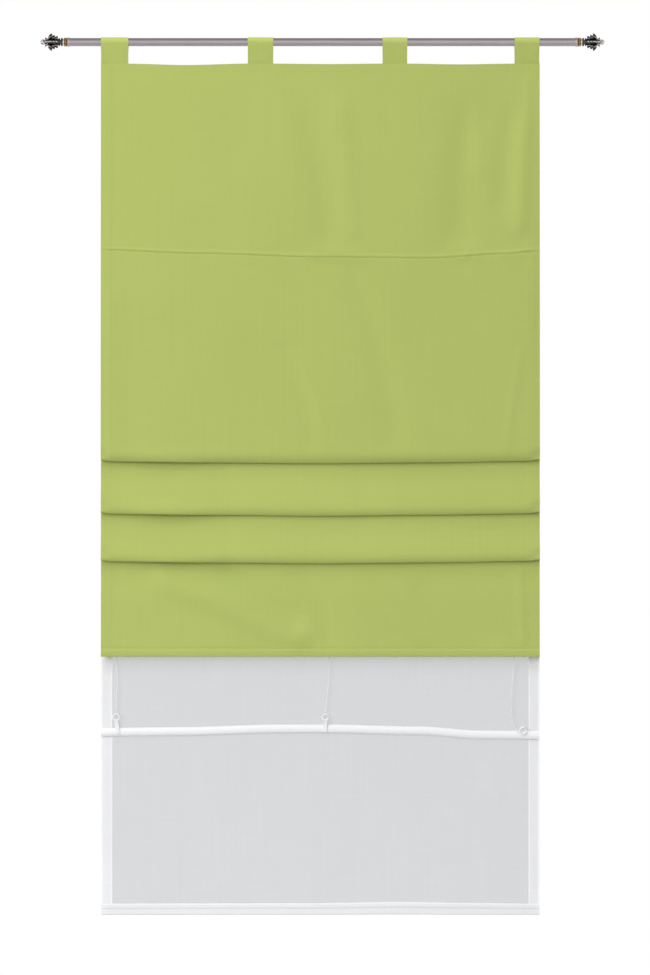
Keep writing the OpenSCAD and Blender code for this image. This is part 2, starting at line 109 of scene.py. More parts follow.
# Millimetres for each pixel of the picture, and the pixel of the blind's middle on the rod's axis
PIXEL = 1.8307
MIDDLE_X = 320.0
AXIS_Y = 42.0


def from_picture(x, y):
    """Side and height in the blind, in millimetres, of a pixel of the picture."""
    return (x - MIDDLE_X) * PIXEL, (AXIS_Y - y) * PIXEL


def eased(x, y, z):
    """A place on the cloth, x from the blind's middle."""
    return Vector((BLIND_X + x * EASE, y, z))


def smooth(low, high, value):
    t = min(max((value - low) / (high - low), 0.0), 1.0)
    return t * t * (3 - 2 * t)


def bump(value, width):
    return math.exp(-(value / width) ** 2)


def curve_at(points, value):
    """Smooth curve through (place, height) points."""
    if value <= points[0][0]:
        return points[0][1]
    for (x0, y0), (x1, y1) in zip(points, points[1:]):
        if value <= x1:
            return y0 + (y1 - y0) * smooth(x0, x1, value)
    return points[-1][1]


CREASE_REACH = 3


class Crease:
    """A soft ridge (positive height) or valley (negative) along a line of picture points."""

    def __init__(self, pixels, width, height):
        self.points = [from_picture(*p) for p in pixels]
        self.width = width * PIXEL
        self.height = height
        self.reach = CREASE_REACH * self.width
        self.low = min(p[1] for p in self.points) - self.reach
        self.high = max(p[1] for p in self.points) + self.reach

    def at(self, x, z):
        if not self.low < z < self.high:
            return 0.0
        best = math.inf
        for (x0, z0), (x1, z1) in zip(self.points, self.points[1:]):
            dx, dz = x1 - x0, z1 - z0
            t = min(max(((x - x0) * dx + (z - z0) * dz) / (dx * dx + dz * dz), 0.0), 1.0)
            best = min(best, math.hypot(x - x0 - t * dx, z - z0 - t * dz))
        if best > self.reach:
            return 0.0
        return self.height * bump(best, self.width)


SHARP_ANGLE = 55
STITCH_SUNK = 0.3
STITCH_PROUD = 0.45


class Builder:
    """Collects grids, tubes and stitches into one mesh, in millimetres."""

    def __init__(self):
        self.verts = []
        self.faces = []
        self.mats = []
        self.uvs = []

    def vertex(self, p, uv=(0.0, 0.0)):
        self.verts.append((p[0] * MM, p[1] * MM, p[2] * MM))
        self.uvs.append((uv[0] * MM, uv[1] * MM))
        return len(self.verts) - 1

    def face(self, ids, mat=0):
        self.faces.append(ids)
        self.mats.append(mat)

    def grid(self, rows, uvs, mat=0, flip=False):
        """Rows of points become quads. mat is an index, or a function of the row and column."""
        ids = [[self.vertex(p, uv) for p, uv in zip(r, u)] for r, u in zip(rows, uvs)]
        for i in range(len(ids) - 1):
            for j in range(len(ids[0]) - 1):
                quad = [ids[i][j], ids[i][j + 1], ids[i + 1][j + 1], ids[i + 1][j]]
                self.face(quad[::-1] if flip else quad, mat(i, j) if callable(mat) else mat)
        return ids

    def shell(self, rows, uvs, thickness):
        """A grid with thickness: both faces and the rim between them."""
        normals = grid_normals(rows)
        half = thickness / 2
        front = [[p + n * half for p, n in zip(r, m)] for r, m in zip(rows, normals)]
        back = [[p - n * half for p, n in zip(r, m)] for r, m in zip(rows, normals)]
        a = self.grid(front, uvs)
        b = self.grid(back, uvs, flip=True)
        rim_a = a[0] + [r[-1] for r in a[1:]] + a[-1][-2::-1] + [r[0] for r in a[-2:0:-1]]
        rim_b = b[0] + [r[-1] for r in b[1:]] + b[-1][-2::-1] + [r[0] for r in b[-2:0:-1]]
        for k in range(len(rim_a)):
            m = (k + 1) % len(rim_a)
            self.face([rim_a[m], rim_a[k], rim_b[k], rim_b[m]])

    def tube(self, path, radius, sides=8, closed=False):
        n = len(path)
        ids = []
        normal = None
        length = 0.0
        for i, p in enumerate(path):
            before = path[i - 1] if closed or i else p
            after = path[(i + 1) % n] if closed or i < n - 1 else p
            way = (after - before).normalized()
            if normal is None:
                normal = way.orthogonal().normalized()
            else:
                normal = (normal - way * normal.dot(way)).normalized()
                length += (p - path[i - 1]).length
            side = way.cross(normal)
            ring = []
            for k in range(sides):
                angle = math.tau * k / sides
                q = p + (normal * math.cos(angle) + side * math.sin(angle)) * radius
                ring.append(self.vertex(q, (math.tau * radius * k / sides, length)))
            ids.append(ring)
        for i in range(n if closed else n - 1):
            a, b = ids[i], ids[(i + 1) % n]
            for k in range(sides):
                m = (k + 1) % sides
                self.face([a[k], a[m], b[m], b[k]])
        if not closed:
            self.face(ids[0][::-1])
            self.face(ids[-1])

    def stitch(self, p, way, normal, length, width, mat=0):
        """One sunk stitch of thread: a low lens that lies along way."""
        side = way.cross(normal).normalized()
        sunk = normal * width * STITCH_SUNK
        ends = [p - way * length / 2 - sunk, p + way * length / 2 - sunk]
        sides = [p - side * width / 2, p + side * width / 2]
        top = p + normal * width * STITCH_PROUD
        ids = [self.vertex(q) for q in (ends[0], sides[0], ends[1], sides[1], top)]
        for k in range(4):
            self.face([ids[k], ids[(k + 1) % 4], ids[4]], mat)

    def build(self, name, materials):
        mesh = bpy.data.meshes.new(name)
        mesh.from_pydata(self.verts, [], self.faces)
        for m in materials:
            mesh.materials.append(m)
        layer = mesh.uv_layers.new(name="UVMap")
        for loop in mesh.loops:
            layer.data[loop.index].uv = self.uvs[loop.vertex_index]
        for poly, mat in zip(mesh.polygons, self.mats):
            poly.material_index = mat
            poly.use_smooth = True
        mesh.update()
        mesh.set_sharp_from_angle(angle=math.radians(SHARP_ANGLE))
        obj = bpy.data.objects.new(name, mesh)
        bpy.context.scene.collection.objects.link(obj)
        return obj


def dress(obj, node, body):
    """Lets a piece stand for a CAD node, which it hides, and ride on a body."""
    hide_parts(node)
    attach(obj, body)


def gather(obj):
    """Gives a length of sheer or cord its own copy of its mesh."""
    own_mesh(obj)


def grid_normals(rows):
    last_i = len(rows) - 1
    last_j = len(rows[0]) - 1
    normals = []
    for i in range(last_i + 1):
        line = []
        for j in range(last_j + 1):
            across = rows[i][min(j + 1, last_j)] - rows[i][max(j - 1, 0)]
            along = rows[min(i + 1, last_i)][j] - rows[max(i - 1, 0)][j]
            line.append(along.cross(across).normalized() * -1)
        normals.append(line)
    return normals


def arc(centre, radius, start, stop, steps):
    points = []
    for i in range(steps + 1):
        angle = math.radians(start + (stop - start) * i / steps)
        points.append((centre[0] + radius * math.cos(angle), centre[1] + radius * math.sin(angle)))
    return points


class Path:
    """A line in the YZ plane that can be read at any distance along it."""

    def __init__(self, points):
        self.points = points
        self.marks = [0.0]
        for (y0, z0), (y1, z1) in zip(points, points[1:]):
            self.marks.append(self.marks[-1] + math.hypot(y1 - y0, z1 - z0))
        self.length = self.marks[-1]

    def at(self, s):
        s = min(max(s, 0.0), self.length)
        for i in range(1, len(self.marks)):
            if s <= self.marks[i]:
                break
        share = (s - self.marks[i - 1]) / max(self.marks[i] - self.marks[i - 1], 1e-9)
        (y0, z0), (y1, z1) = self.points[i - 1], self.points[i]
        return y0 + (y1 - y0) * share, z0 + (z1 - z0) * share

    def samples(self, longest):
        """Every corner of the line, and points between them no further apart than longest."""
        out = [0.0]
        for a, b in zip(self.marks, self.marks[1:]):
            count = max(1, math.ceil((b - a) / longest))
            out += [a + (b - a) * (k + 1) / count for k in range(count)]
        return out


def spread(low, high, count):
    return [low + (high - low) * i / count for i in range(count + 1)]


# Materials

def node_material(name):
    mat = bpy.data.materials.new(name)
    mat.use_nodes = True
    tree = mat.node_tree
    return mat, tree, tree.nodes["Principled BSDF"]


def fill(node, **inputs):
    for key, value in inputs.items():
        node.inputs[key.replace("_", " ")].default_value = value


def add(tree, kind, **inputs):
    node = tree.nodes.new(kind)
    fill(node, **inputs)
    return node


def coordinates(tree, output, scale):
    source = tree.nodes.new("ShaderNodeTexCoord")
    mapping = add(tree, "ShaderNodeMapping", Scale=scale)
    tree.links.new(source.outputs[output], mapping.inputs["Vector"])
    return mapping.outputs["Vector"]


def noise_at(tree, output, scale, detail=3.0):
    node = add(tree, "ShaderNodeTexNoise", Scale=1.0, Detail=detail)
    tree.links.new(coordinates(tree, output, scale), node.inputs["Vector"])
    return node.outputs["Fac"]


def wave_at(tree, output, scale, direction):
    node = add(tree, "ShaderNodeTexWave", Scale=1.0)
    node.bands_direction = direction
    tree.links.new(coordinates(tree, output, scale), node.inputs["Vector"])
    return node.outputs["Fac"]


def math_node(tree, operation, a, b):
    node = tree.nodes.new("ShaderNodeMath")
    node.operation = operation
    for socket, value in zip(node.inputs, (a, b)):
        if isinstance(value, (int, float)):
            socket.default_value = value
        else:
            tree.links.new(value, socket)
    return node.outputs[0]


def times(tree, a, b):
    return math_node(tree, "MULTIPLY", a, b)


def mix_colours(tree, factor, first, second):
    node = tree.nodes.new("ShaderNodeMix")
    node.data_type = "RGBA"
    tree.links.new(factor, node.inputs["Factor"])
    for socket, value in ((node.inputs["A"], first), (node.inputs["B"], second)):
        if isinstance(value, tuple):
            socket.default_value = (*value, 1.0)
        else:
            tree.links.new(value, socket)
    return node.outputs["Result"]


def stretch(tree, value, low, high):
    """Takes a texture's value to the range from 0 to 1 between low and high."""
    node = add(tree, "ShaderNodeMapRange", From_Min=low, From_Max=high)
    tree.links.new(value, node.inputs["Value"])
    return node.outputs["Result"]


def bump_into(tree, shader, height, strength, distance):
    node = add(tree, "ShaderNodeBump", Strength=strength, Distance=distance)
    tree.links.new(height, node.inputs["Height"])
    tree.links.new(node.outputs["Normal"], shader.inputs["Normal"])


def woven(name, light, dark, thread, strength, alpha=1.0, sheen=0.2):
    """Plain weave: threads across and along, slubs, and slow changes of tone."""
    mat, tree, shader = node_material(name)
    across = wave_at(tree, "UV", (thread, thread, 1), "X")
    along = wave_at(tree, "UV", (thread, thread, 1), "Y")
    weave = times(tree, across, along)
    slubs = noise_at(tree, "UV", (12, 420, 1), detail=2.0)
    streaks = noise_at(tree, "UV", (160, 5, 1), detail=3.0)
    slow = noise_at(tree, "UV", (4, 4, 1), detail=2.0)
    tone = times(tree, slubs, 0.35)
    tone = math_node(tree, "ADD", tone, times(tree, streaks, 0.3))
    tone = math_node(tree, "ADD", tone, times(tree, slow, 0.35))
    colour = mix_colours(tree, stretch(tree, tone, 0.3, 0.7), dark, light)
    tree.links.new(colour, shader.inputs["Base Color"])
    height = math_node(tree, "ADD", weave, times(tree, slubs, 0.6))
    bump_into(tree, shader, height, strength, 0.0003)
    fill(shader, Roughness=0.85, Specular_IOR_Level=0.15, Alpha=alpha)
    fill(shader, Sheen_Weight=sheen, Sheen_Roughness=0.5)
    return mat


def sheer(name, light, dark, alpha):
    """Fine white weave that lets light through."""
    return woven(name, light, dark, 2500, 0.12, alpha=alpha, sheen=0.05)


def metal(name, light, dark, roughness, scale, strength):
    """Metal with drawn or cast texture, darker where its noise runs low."""
    mat, tree, shader = node_material(name)
    grain = noise_at(tree, "Object", scale, detail=4.0)
    colour = mix_colours(tree, stretch(tree, grain, 0.3, 0.7), dark, light)
    tree.links.new(colour, shader.inputs["Base Color"])
    rough = math_node(tree, "ADD", times(tree, grain, 0.16), roughness)
    tree.links.new(rough, shader.inputs["Roughness"])
    bump_into(tree, shader, grain, strength, 0.0002)
    fill(shader, Metallic=1.0)
    return mat


def vector_node(tree, operation, a, b=None):
    node = tree.nodes.new("ShaderNodeVectorMath")
    node.operation = operation
    for socket, value in zip(node.inputs, (a, b)):
        if isinstance(value, tuple):
            socket.default_value = value
        elif value is not None:
            tree.links.new(value, socket)
    return node.outputs["Value" if operation in ("LENGTH", "DOT_PRODUCT") else "Vector"]


def beaded_gold_painted_shade(name, light, dark):
    """Gilt beads with painted shade on the low ground between them: the colour goes with the distance from
    the rod's axis.
    """
    mat, tree, shader = node_material(name)
    out = vector_node(tree, "LENGTH", coordinates(tree, "Object", (0, 1, 1)))
    grain = noise_at(tree, "Object", (600, 600, 600))
    height = math_node(tree, "ADD", out, times(tree, grain, 0.0006))
    raised = stretch(tree, height, 0.0079, 0.0086)
    tree.links.new(mix_colours(tree, raised, dark, light), shader.inputs["Base Color"])
    rough = math_node(tree, "SUBTRACT", 0.5, times(tree, raised, 0.22))
    tree.links.new(rough, shader.inputs["Roughness"])
    bump_into(tree, shader, grain, 0.2, 0.0002)
    fill(shader, Metallic=1.0)
    return mat


def cast_pewter(name, polished, aged, neck, ball):
    """Cast metal: leaf faces are aged and streaked, their edges and the core are worn bright, and so is the
    ball apart from its pits. neck and ball are places along the rod, in metres from its middle."""
    mat, tree, shader = node_material(name)
    source = tree.nodes.new("ShaderNodeTexCoord")
    round_way = vector_node(tree, "CROSS_PRODUCT", (1.0, 0.0, 0.0), source.outputs["Object"])
    round_way = vector_node(tree, "NORMALIZE", round_way)
    facing = vector_node(tree, "DOT_PRODUCT", round_way, source.outputs["Normal"])
    face = stretch(tree, math_node(tree, "ABSOLUTE", facing, 0), 0.35, 0.75)
    split = tree.nodes.new("ShaderNodeSeparateXYZ")
    tree.links.new(source.outputs["Object"], split.inputs["Vector"])
    along = math_node(tree, "ABSOLUTE", split.outputs["X"], 0)
    on_neck = times(tree, stretch(tree, along, neck[0] - 0.0002, neck[0] + 0.0002),
                    stretch(tree, along, neck[1] + 0.0002, neck[1] - 0.0002))
    pits = stretch(tree, noise_at(tree, "Object", (330, 330, 330), detail=2.0), 0.5, 0.62)
    pits = times(tree, pits, stretch(tree, along, ball - 0.001, ball + 0.001))
    out = vector_node(tree, "LENGTH", coordinates(tree, "Object", (0, 1, 1)))
    on_leaves = times(tree, stretch(tree, along, ball - 0.004, ball - 0.008),
                      stretch(tree, along, neck[1], neck[1] + 0.0004))
    core = times(tree, stretch(tree, out, 0.0084, 0.0066), on_leaves)
    worn = times(tree, stretch(tree, out, 0.0066, 0.0086), on_leaves)
    face = math_node(tree, "MAXIMUM", face, times(tree, core, 0.9))
    face = math_node(tree, "MAXIMUM", face, times(tree, worn, 0.4))
    old = math_node(tree, "MAXIMUM", math_node(tree, "MAXIMUM", face, on_neck), pits)
    streaks = noise_at(tree, "Object", (900, 260, 260), detail=3.0)
    dull = mix_colours(tree, stretch(tree, streaks, 0.42, 0.68), aged, tuple(4.5 * c for c in aged))
    tree.links.new(mix_colours(tree, old, polished, dull), shader.inputs["Base Color"])
    rough = math_node(tree, "ADD", 0.26, times(tree, old, 0.2))
    tree.links.new(rough, shader.inputs["Roughness"])
    bump_into(tree, shader, streaks, 0.4, 0.0006)
    fill(shader, Metallic=1.0)
    return mat


def plastic(name, light, dark):
    mat, tree, shader = node_material(name)
    cloud = noise_at(tree, "Object", (60, 60, 60))
    tree.links.new(mix_colours(tree, cloud, dark, light), shader.inputs["Base Color"])
    bump_into(tree, shader, cloud, 0.08, 0.0003)
    fill(shader, Roughness=0.32)
    return mat


def braid(name, light, dark):
    """Cord with a slanted braid round it."""
    mat, tree, shader = node_material(name)
    strands = wave_at(tree, "UV", (420, 420, 1), "DIAGONAL")
    tree.links.new(mix_colours(tree, strands, dark, light), shader.inputs["Base Color"])
    bump_into(tree, shader, strands, 0.5, 0.0003)
    fill(shader, Roughness=0.7)
    return mat


def pale_floor(name):
    mat, tree, shader = node_material(name)
    cloud = noise_at(tree, "Object", (2, 2, 2))
    colour = mix_colours(tree, cloud, (0.7, 0.7, 0.7), (0.74, 0.74, 0.74))
    tree.links.new(colour, shader.inputs["Base Color"])
    fill(shader, Roughness=0.9)
    return mat


GREEN = woven("front_weave", (0.485, 0.561, 0.157), (0.455, 0.527, 0.142), 1500, 0.25, sheen=0.08)
# The tabs' cloth is the front cloth's green painted about 6 % lighter: painted light against the shade on the
# tabs' backward lean
TAB_GREEN_PAINTED_LIGHT = woven("tab_weave", (0.515, 0.594, 0.167), (0.485, 0.559, 0.151), 1500, 0.25, sheen=0.08)
GREEN_THREAD = woven("front_thread", (0.36, 0.42, 0.11), (0.32, 0.37, 0.09), 1500, 0.2)
VOILE = sheer("voile", (0.512, 0.523, 0.553), (0.473, 0.484, 0.513), 0.6)
VOILE_HEM = sheer("voile_hem", (0.93, 0.935, 0.955), (0.87, 0.875, 0.895), 0.9)
VOILE_EDGE = sheer("voile_edge", (0.97, 0.97, 0.98), (0.93, 0.93, 0.95), 0.97)
# Grey voile that is painted shade, for a crease in the sheer's bottom hem and the underside of its fold
HEM_PAINTED_SHADE = sheer("voile_painted_shade", (0.74, 0.745, 0.76), (0.68, 0.685, 0.7), 0.97)
BAND = sheer("voile_band", (0.975, 0.975, 0.985), (0.935, 0.935, 0.95), 0.95)
WHITE_THREAD = woven("white_thread", (0.93, 0.93, 0.94), (0.87, 0.87, 0.88), 2500, 0.2)
TAPE = woven("white_tape", (0.94, 0.94, 0.95), (0.88, 0.88, 0.9), 1800, 0.3)
CORD = braid("white_cord", (0.97, 0.97, 0.97), (0.9, 0.9, 0.91))
PLASTIC = plastic("white_plastic", (0.9, 0.9, 0.91), (0.86, 0.86, 0.87))
NICKEL = metal("satin_nickel", (0.5, 0.455, 0.475), (0.42, 0.375, 0.395), 0.26, (30, 900, 900), 0.12)
COLLAR = metal("collar_nickel", (0.6, 0.56, 0.6), (0.5, 0.46, 0.5), 0.22, (500, 500, 500), 0.1)
# Gilt beads, with the low ground between them painted dark as shade
GOLD_PAINTED_SHADE = beaded_gold_painted_shade("gilt_painted_shade", (0.82, 0.5, 0.11), (0.1, 0.05, 0.015))
PEWTER = cast_pewter("antique_pewter", (0.78, 0.73, 0.73), (0.032, 0.028, 0.028), (0.4754, 0.4787), 0.5085)


# The camera stands far off and straight in front, as in the picture
CAMERA_X = 0.0046
CAMERA_Y = -12.0
CAMERA_Z = -0.8154
PICTURE_H = 975
SENSOR_H = 36.0
VIEW_H = PICTURE_H * PIXEL * MM
camera_data = bpy.data.cameras.new("camera")
camera_data.sensor_fit = "VERTICAL"
camera_data.sensor_height = SENSOR_H
camera_data.lens = SENSOR_H * -CAMERA_Y / VIEW_H
camera_data.clip_end = 60.0
camera = bpy.data.objects.new("camera", camera_data)
camera.location = (CAMERA_X, CAMERA_Y, CAMERA_Z)
camera.rotation_euler = (math.pi / 2, 0, 0)
bpy.context.scene.collection.objects.link(camera)
bpy.context.scene.camera = camera


# Lift cords along the routes of the CAD model

# Steps of a route in X, Y and Z: from the header's knot, from under it with Y from the rings' plane, and from
# the middle of the upper pocket's ring to the next one
KNOT_ROUTE = ((0, 0.4, -8), (0, 2.4, -42))
DOWN_ROUTE = ((1, 0.3, -122), (1, 2.3, -222))
NEXT_ROUTE = ((0, 0.3, -78), (1, 1.9, -198), (1, 2.3, -318))
# Steps in Y and Z through a ring, from its middle
RING_ROUTE = ((2.5, 14), (2.4, 7), (0.8, 2.6), (-2.2, -0.6), (-3.1, -4), (-3.1, -10), (-2.6, -17),
              (-2.1, -34))
KNOT_POINTS = 48
KNOT_SCALE = 0.5
KNOT_STRAND = 0.48


def knot_at(x, y, z, angle):
    a = math.radians(angle)
    return Vector((BLIND_X + x + RING_R * math.cos(a), y, z + RING_R * math.sin(a)))


def cord_points(k, last_knot, slack):
    p = knot_at(RING_X[k], HEADER_RING_Y, HEADER_RING_Z, -90) - Vector((0, 0, KNOT_D / 2 + CORD_FIT))
    points = [p] + [p + Vector(step) for step in KNOT_ROUTE]
    points += [Vector((p.x + dx, RING_Y + dy, p.z + dz)) for dx, dy, dz in DOWN_ROUTE]
    x = BLIND_X + RING_X[k]
    for pocket in (2, 1):
        z = POCKET_Z[pocket] + RING_RISE
        points += [Vector((x, RING_Y + dy, z + dz)) for dy, dz in RING_ROUTE]
        if pocket == 2:
            points += [Vector((x + dx, RING_Y + dy, z + dz)) for dx, dy, dz in NEXT_ROUTE]
    end = last_knot + Vector(slack[-1]).normalized() * (KNOT_D / 2 + CORD_FIT)
    points += [end + Vector(s) for s in slack]
    return points + [end]


def smooth_line(points, steps):
    """Catmull-Rom curve through the points."""
    out = []
    for i in range(len(points) - 1):
        p0, p1 = points[max(i - 1, 0)], points[i]
        p2, p3 = points[i + 1], points[min(i + 2, len(points) - 1)]
        m1 = (p2 - p0) * 0.5
        m2 = (p3 - p1) * 0.5
        chord = (p2 - p1).length
        m1 = m1 * min(1.0, chord / max(m1.length, 1e-6))
        m2 = m2 * min(1.0, chord / max(m2.length, 1e-6))
        for k in range(steps):
            t = k / steps
            a, b = 2 * t ** 3 - 3 * t * t + 1, t ** 3 - 2 * t * t + t
            c, d = -2 * t ** 3 + 3 * t * t, t ** 3 - t * t
            out.append(p1 * a + m1 * b + p2 * c + m2 * d)
    return out + [points[-1]]


def trefoil(centre, size, turn):
    """A small tied knot."""
    points = []
    for i in range(KNOT_POINTS):
        t = math.tau * i / KNOT_POINTS
        x = math.sin(t) + 2 * math.sin(2 * t)
        y = math.cos(t) - 2 * math.cos(2 * t)
        p = Vector((x, y, -1.6 * math.sin(3 * t)))
        p.rotate(turn)
        points.append(centre + p * size)
    return points


def knots(name, places, node, body):
    """Tied knots, each turned its own way."""
    build = Builder()
    for i, p in enumerate(places):
        turn = Euler((1.2 + i, 0.4, 0.7 * i))
        build.tube(trefoil(p, KNOT_SCALE, turn), CORD_D * KNOT_STRAND, closed=True)
    obj = build.build(name, [CORD])
    dress(obj, node, body)


LOWEST_RING_Z = POCKET_Z[0] + RING_RISE
LAST_KNOTS = (
    knot_at(RING_X[0], RING_Y, LOWEST_RING_Z, 90),
    knot_at(RING_X[1], RING_Y, LOWEST_RING_Z, 90),
    knot_at(RING_X[2], DROPPED_RING_Y, POCKET_Z[0] + DROPPED_RING_Z, DROPPED_ANGLE),
)
SLACKS = (
    ((0, 0, 318), (-1, 0, 208), (0, 0, 102), (2, 0, 66), (0.5, 0, 26)),
    ((2, 0, 318), (6, 0, 208), (7.8, 0, 102), (6, 0, 60), (2.5, 0, 22)),
    ((-0.8, 1.5, 306), (-8.3, 1.5, 130), (-12.6, 1.5, 68),
     (-13.3, 1.3, 34), (-9.8, 0.8, 13), (-3.6, 0.2, 0.9)),
)
knots("lowest_knots", LAST_KNOTS, "cord_knots", "skirt")
knots("header_knots_tied", [knot_at(x, HEADER_RING_Y, HEADER_RING_Z, -90) for x in RING_X],
      "header_knots", "blind")

# A cord is parted at the rings it runs through, so that each part keeps its ring as the sheer is drawn up.
# Each row has a part's name, the first and last points of its route, and the body it rides on.
CORD_PARTS = (
    ("upper", 0, 6, "blind"),
    ("in_ring_3", 6, 12, "pocket_3"),
    ("middle", 12, 17, "pocket_3"),
    ("in_ring_2", 17, 23, "pocket_2"),
    ("lower", 23, None, "pocket_2"),
)
# The parts that hang free, with what each ends at and the part in the ring below it
FREE_PARTS = (("upper", "object", "in_ring_3"), ("middle", "object", "in_ring_2"), ("lower", "knot", None))
CORD_STEPS = 8
CORD_SIDES = 8
for k, side in enumerate(("left", "middle", "right")):
    line = smooth_line(cord_points(k, LAST_KNOTS[k], SLACKS[k]), CORD_STEPS)
    parts = {}
    for name, first, last, body in CORD_PARTS:
        part_line = line[first * CORD_STEPS:None if last is None else last * CORD_STEPS + 1]
        build = Builder()
        build.tube(part_line, CORD_D / 2, CORD_SIDES)
        part = build.build("cord_%s_%s" % (side, name), [CORD])
        dress(part, "lift_cord_" + side, body)
        parts[name] = (part, part_line)
    for name, far_end, on_it in FREE_PARTS:
        part, part_line = parts[name]
        gather(part)


# Front cloth: one folded length with its tucks, wrinkles and hems

HANG_POWER = 1.9
LIP_STEPS = 8
TURN_STEPS = 7


def tuck_points(drop):
    edge = -drop + CLOTH_T / 2 + TUCK_R
    top = -drop + TUCK_H - CLOTH_T / 2 - TURN_R
    low = arc((LIP_Y + TUCK_R, edge), TUCK_R, 180, 360, LIP_STEPS)
    return low + arc((TUCK_BACK - TURN_R, top), TURN_R, 180, 0, TURN_STEPS)


def hanging_points(start, stop):
    """The cloth between two tucks hangs straight first and then swings forward."""
    points = []
    for share in spread(0, 1, 10)[1:-1]:
        y = start[0] + (stop[0] - start[0]) * share ** HANG_POWER
        points.append((y, start[1] + (stop[1] - start[1]) * share))
    return points


LIP_Y = TUCK_FRONT + CLOTH_T / 2
front_points = [(-CLOTH_T / 2, -HEADER_DROP), (-CLOTH_T / 2, -HEADER_DROP - HEADER_H)]
lip_corners = []
for i, drop in enumerate(TUCK_DROPS):
    tuck = tuck_points(drop)
    if i:
        front_points += hanging_points(front_points[-1], tuck[0])
    lip_corners.append(len(front_points))
    front_points += tuck
front_points += arc((SKIRT_Y + HEM_R, -FRONT_DROP + CLOTH_T / 2 + HEM_R), HEM_R, 180, 360, 7)
front_points.append((SKIRT_Y + 2 * HEM_R, -FRONT_DROP + FRONT_HEM))
front_path = Path(front_points)

FRONT_CREASES = [
    Crease(((303, 80), (320, 165), (330, 250)), 16, -3.2),
    Crease(((352, 262), (376, 340), (394, 430)), 14, -2.4),
    Crease(((286, 350), (304, 400), (312, 440)), 9, -1.5),
    Crease(((304, 362), (326, 432)), 3.5, 0.5),
    Crease(((476, 85), (462, 160), (456, 250)), 17, -3.4),
    Crease(((514, 92), (506, 140), (502, 200)), 11, -2.2),
    Crease(((520, 350), (512, 400), (503, 455)), 4, 0.8),
    Crease(((113, 300), (115, 455)), 9, 1.4),
    Crease(((525, 84), (522, 150), (519, 225)), 8, 2.6),
    Crease(((479, 76), (474, 120), (478, 170)), 8, 1.6),
    Crease(((316, 92), (334, 125)), 6, 0.9),
    Crease(((340, 105), (346, 160), (352, 230)), 9, 1.4),
    Crease(((165, 580), (215, 600), (260, 622), (296, 640)), 13, 6.5),
    Crease(((228, 572), (258, 594), (292, 618)), 12, -4.5),
    Crease(((300, 575), (320, 605), (330, 640)), 9, -1.8),
    Crease(((350, 585), (385, 612), (420, 640)), 8, 1.6),
    Crease(((420, 590), (450, 612), (490, 640)), 9, -2.0),
    Crease(((519, 572), (522, 645)), 6, 1.4),
    Crease(((222, 470), (232, 505)), 9, -0.9),
    Crease(((360, 470), (372, 510)), 12, -0.9),
]
SEAM_PIXELS = ((101, 250), (200, 253.5), (320, 257), (430, 258), (500, 254), (539, 251))
SEAM_SAG = [from_picture(x, y) for x, y in SEAM_PIXELS]
TUCK_SAG = [(-HALF_W, 0.2), (-200, -1.8), (0, -3.5), (200, -1.6), (HALF_W, 1.2)]
TOP_RISE = 1.6
TOP_SAG = [(-354, 0), (-245, -2.6), (-132, 0), (-86, 0), (12, -0.8), (113, 0), (159, 0), (256, -1.4),
           (354, 0)]

# Tucks are pinched flat at the sides, stand proud at one place, and the cloth under each is a little recessed
PINCH = 20.0
PINCH_RISE = 2.2
PINCH_BACK = 4.0
PROUD_X = -285.0
PROUD_W = 75.0
PROUD_OUT = 2.2
RECESS = 2.8
RECESS_PROUD = 0.5
RECESS_DROP = 28.0
RECESS_H = 23.0
SWELL = 2.4

# How far the cloth rolls back at a tuck's lower edge and at its hidden leg, over what height and how sharply
ROLL = 5.8
LEG_ROLL = 3.7
ROLL_H = 22.0
ROLL_POWER = 3
LIP_S = [front_path.marks[c] for c in lip_corners]
LEG_S = [front_path.marks[c + LIP_STEPS] for c in lip_corners]
TOP_S = [front_path.marks[c + LIP_STEPS + 1] for c in lip_corners]
OUT_S = [front_path.marks[c + LIP_STEPS + 1 + TURN_STEPS] for c in lip_corners]
SAG_SHARE = [(SEAM_DROP + 60 - HEADER_DROP, 0)]
for lip, leg, top, out in zip(LIP_S, LEG_S, TOP_S, OUT_S):
    SAG_SHARE += [(lip, 1), (leg, 1), (top - 4, 0), (out + 4, 0)]
side_x = HALF_W - SIDE_HEM + 1
hem_s = front_path.length - FRONT_HEM + HEM_R - math.pi * HEM_R - FRONT_HEM + 3


def lip_roll(s, lip, leg):
    """How far back the cloth rolls as it nears a tuck's lower edge, from lip to leg along its length."""
    if s < lip:
        return ROLL * max(0.0, 1 - (lip - s) / ROLL_H) ** ROLL_POWER
    if s < leg:
        u = (s - lip) / (leg - lip)
        start = (2 * u ** 3 - 3 * u * u + 1) * ROLL + (3 * u * u - 2 * u ** 3) * LEG_ROLL
        turn = (u ** 3 - 2 * u * u + u) * ROLL - (u ** 3 - u * u) * LEG_ROLL
        return start + turn * ROLL_POWER * (leg - lip) / ROLL_H
    return LEG_ROLL * max(0.0, 1 - (s - leg) / ROLL_H) ** ROLL_POWER


